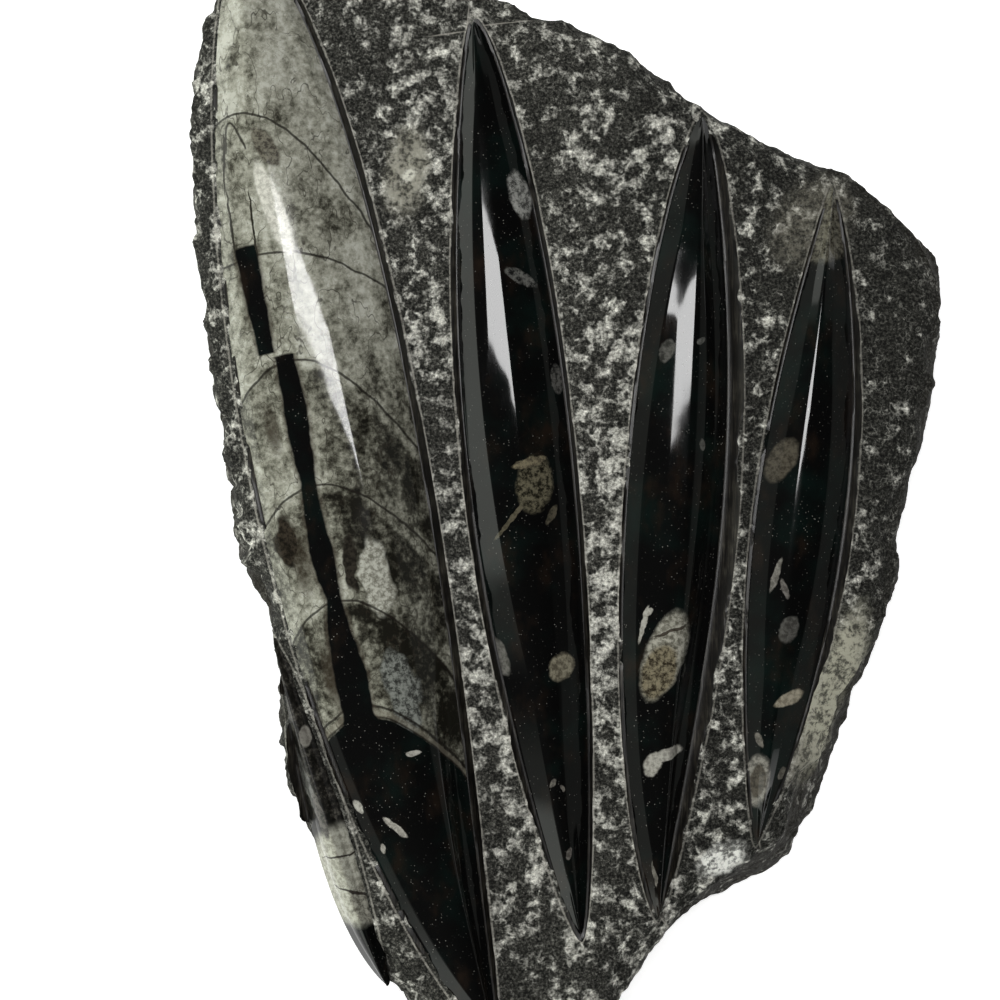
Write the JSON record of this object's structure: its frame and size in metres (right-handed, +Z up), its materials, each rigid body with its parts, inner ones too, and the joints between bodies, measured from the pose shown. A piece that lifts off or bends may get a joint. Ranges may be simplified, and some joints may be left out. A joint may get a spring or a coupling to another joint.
{
  "type": "orthoceras fossil",
  "caption": "Flat-based slab of hammered black limestone with polished, spindle-shaped orthoceras fossils carved in relief on its top and one side.",
  "frame": {"origin": "middle of the bounding box at the level of the sawn base", "axes": "+Z up from the sawn base, +Y along the fossils towards their pointed upper tips, +X to the right across them"},
  "size_m": [0.1584, 0.2464, 0.0424],
  "materials": {
    "limestone": "hammered matrix, polished fossils, sawn base"
  },
  "bodies": {
    "root": {"orthoceras_slab": "limestone"}
  },
  "joints": []
}
